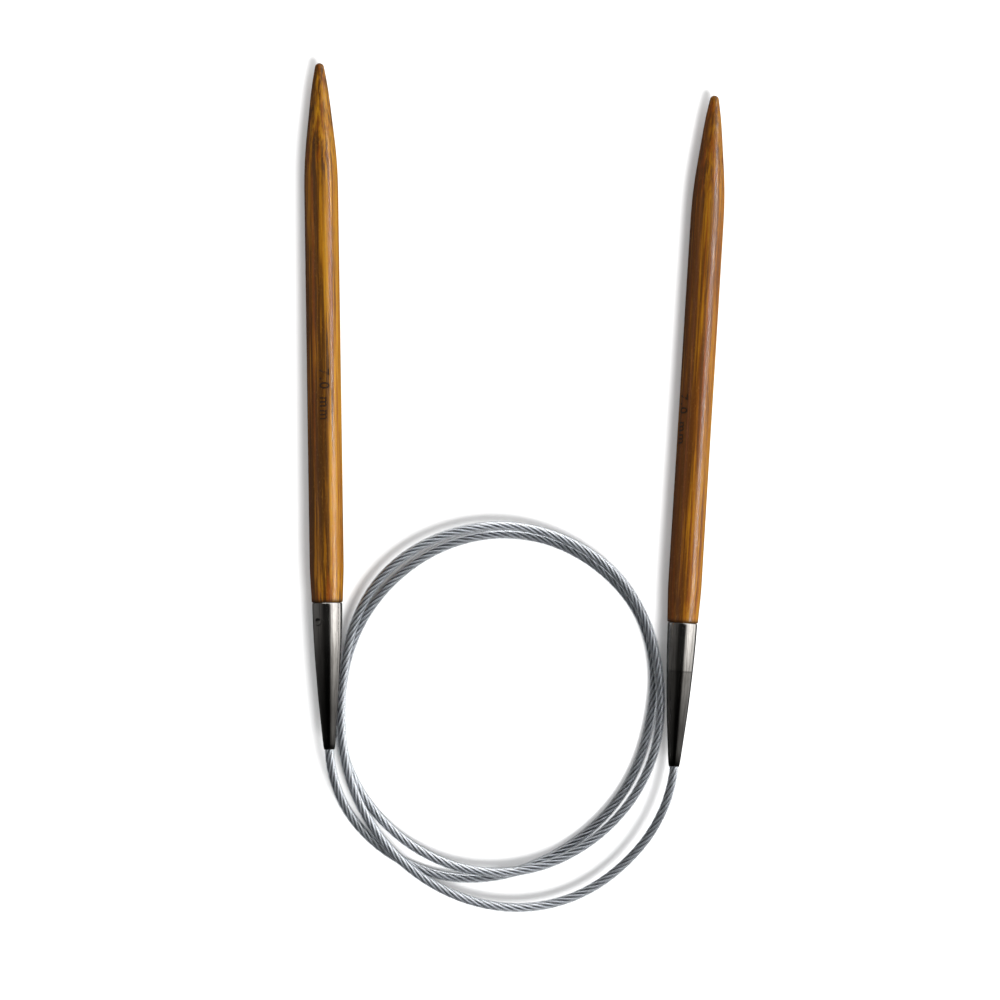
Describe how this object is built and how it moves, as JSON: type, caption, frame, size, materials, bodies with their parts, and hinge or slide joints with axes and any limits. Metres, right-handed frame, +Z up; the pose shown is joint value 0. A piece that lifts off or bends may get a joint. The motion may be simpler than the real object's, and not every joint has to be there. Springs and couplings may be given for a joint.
{
  "type": "circular knitting needle",
  "caption": "Circular knitting needle lying coiled: two tapered bamboo needles in steel ferrules, joined by a long flexible cable of clear-jacketed steel wire rope.",
  "frame": {"origin": "middle of the coil of cable, on the surface that the needle lies on", "axes": "+Z up from that surface, +Y towards the two needle tips, +X from the left needle to the right one"},
  "size_m": [0.0883, 0.175, 0.0085],
  "materials": {
    "bamboo": "carbonised bamboo with a satin lacquer",
    "polished_steel": "drawn and polished",
    "swaged_steel": "plain swaged sleeve",
    "steel_wire": "bright drawn wire",
    "clear_jacket": "clear extruded nylon"
  },
  "bodies": {
    "left_needle": {"left_shaft": "bamboo", "left_ferrule": "polished_steel", "left_end_stop": "swaged_steel", "left_cable_tail_jacket": "clear_jacket", "left_cable_tail_strands": "steel_wire"},
    "left_cable_end": {"left_cable_end_jacket": "clear_jacket", "left_cable_end_strands": "steel_wire"},
    "cable_link_01": {"cable_link_01_jacket": "clear_jacket", "cable_link_01_strands": "steel_wire"},
    "cable_link_02": {"cable_link_02_jacket": "clear_jacket", "cable_link_02_strands": "steel_wire"},
    "cable_link_03": {"cable_link_03_jacket": "clear_jacket", "cable_link_03_strands": "steel_wire"},
    "cable_link_04": {"cable_link_04_jacket": "clear_jacket", "cable_link_04_strands": "steel_wire"},
    "cable_link_05": {"cable_link_05_jacket": "clear_jacket", "cable_link_05_strands": "steel_wire"},
    "cable_link_06": {"cable_link_06_jacket": "clear_jacket", "cable_link_06_strands": "steel_wire"},
    "cable_link_07": {"cable_link_07_jacket": "clear_jacket", "cable_link_07_strands": "steel_wire"},
    "cable_link_08": {"cable_link_08_jacket": "clear_jacket", "cable_link_08_strands": "steel_wire"},
    "cable_link_09": {"cable_link_09_jacket": "clear_jacket", "cable_link_09_strands": "steel_wire"},
    "cable_link_10": {"cable_link_10_jacket": "clear_jacket", "cable_link_10_strands": "steel_wire"},
    "cable_link_11": {"cable_link_11_jacket": "clear_jacket", "cable_link_11_strands": "steel_wire"},
    "right_cable_end": {"right_cable_end_jacket": "clear_jacket", "right_cable_end_strands": "steel_wire"},
    "right_needle": {"right_shaft": "bamboo", "right_ferrule": "polished_steel", "right_end_stop": "swaged_steel", "right_cable_tail_jacket": "clear_jacket", "right_cable_tail_strands": "steel_wire"}
  },
  "joints": [
    {"name": "coil_opens", "type": "hinge", "parent": "cable_link_02", "child": "cable_link_03", "pos_m": [0.03213, 0.0014, 0.00105], "axis": [0, -0.0005, -1], "range_deg": [0, 56]},
    {"name": "cable_flex_01", "type": "hinge", "parent": "cable_link_01", "child": "left_cable_end", "pos_m": [-0.0339, -0.01788, 0.00457], "axis": [0.027, 0.0104, 0.9996], "range_deg": [0, 55.95]},
    {"name": "cable_flex_02", "type": "hinge", "parent": "cable_link_02", "child": "cable_link_01", "pos_m": [0.00539, -0.03414, 0.00105], "axis": [0.0005, 0.0002, 1], "range_deg": [0, 56.03]},
    {"name": "cable_flex_04", "type": "hinge", "parent": "cable_link_03", "child": "cable_link_04", "pos_m": [0.00526, 0.03461, 0.00105], "axis": [-0.0449, 0.0065, -0.999], "range_deg": [0, 27.3]},
    {"name": "cable_flex_05", "type": "hinge", "parent": "cable_link_04", "child": "cable_link_05", "pos_m": [-0.03133, 0.01105, 0.00105], "axis": [-0.0138, -0.0432, -0.999], "range_deg": [0, 24.83]},
    {"name": "cable_flex_06", "type": "hinge", "parent": "cable_link_05", "child": "cable_link_06", "pos_m": [-0.0172, -0.02998, 0.00233], "axis": [0.0388, -0.0236, -0.999], "range_deg": [0, 26.47]},
    {"name": "cable_flex_07", "type": "hinge", "parent": "cable_link_06", "child": "cable_link_07", "pos_m": [0.02537, -0.02227, 0.00315], "axis": [0.0293, 0.0346, -0.999], "range_deg": [0, 25.11]},
    {"name": "cable_flex_08", "type": "hinge", "parent": "cable_link_07", "child": "cable_link_08", "pos_m": [0.02742, 0.02205, 0.00315], "axis": [-0.0245, 0.0382, -0.999], "range_deg": [0, 25.17]},
    {"name": "cable_flex_09", "type": "hinge", "parent": "cable_link_08", "child": "cable_link_09", "pos_m": [-0.01454, 0.03358, 0.00315], "axis": [-0.0414, -0.0185, -0.999], "range_deg": [0, 26.18]},
    {"name": "cable_flex_10", "type": "hinge", "parent": "cable_link_09", "child": "cable_link_10", "pos_m": [-0.03315, -0.00635, 0.00315], "axis": [0.004, -0.0452, -0.999], "range_deg": [0, 20.86]},
    {"name": "cable_flex_11", "type": "hinge", "parent": "cable_link_10", "child": "cable_link_11", "pos_m": [-0.00521, -0.04079, 0.00315], "axis": [0.0438, -0.012, -0.999], "range_deg": [0, 25.08]},
    {"name": "cable_flex_12", "type": "hinge", "parent": "cable_link_11", "child": "right_cable_end", "pos_m": [0.03361, -0.02181, 0.0045], "axis": [0.0814, -0.0361, -0.996], "range_deg": [0, 55.95]},
    {"name": "left_needle_lift", "type": "hinge", "parent": "left_cable_end", "child": "left_needle", "pos_m": [-0.03578, -0.0102, 0.00562], "axis": [0.9998, 0.0201, 0], "range_deg": [0, 40]},
    {"name": "right_needle_lift", "type": "hinge", "parent": "right_cable_end", "child": "right_needle", "pos_m": [0.03569, -0.0141, 0.00471], "axis": [0.998, -0.0637, 0], "range_deg": [0, 40]}
  ],
  "couplings": [
    {"joint": "cable_flex_01", "follows": "coil_opens", "ratio": 0.99887},
    {"joint": "cable_flex_02", "follows": "coil_opens", "ratio": 1.0004},
    {"joint": "cable_flex_04", "follows": "coil_opens", "ratio": 0.48731},
    {"joint": "cable_flex_05", "follows": "coil_opens", "ratio": 0.44321},
    {"joint": "cable_flex_06", "follows": "coil_opens", "ratio": 0.47246},
    {"joint": "cable_flex_07", "follows": "coil_opens", "ratio": 0.4482},
    {"joint": "cable_flex_08", "follows": "coil_opens", "ratio": 0.44934},
    {"joint": "cable_flex_09", "follows": "coil_opens", "ratio": 0.46731},
    {"joint": "cable_flex_10", "follows": "coil_opens", "ratio": 0.3724},
    {"joint": "cable_flex_11", "follows": "coil_opens", "ratio": 0.4477},
    {"joint": "cable_flex_12", "follows": "coil_opens", "ratio": 0.99886}
  ]
}
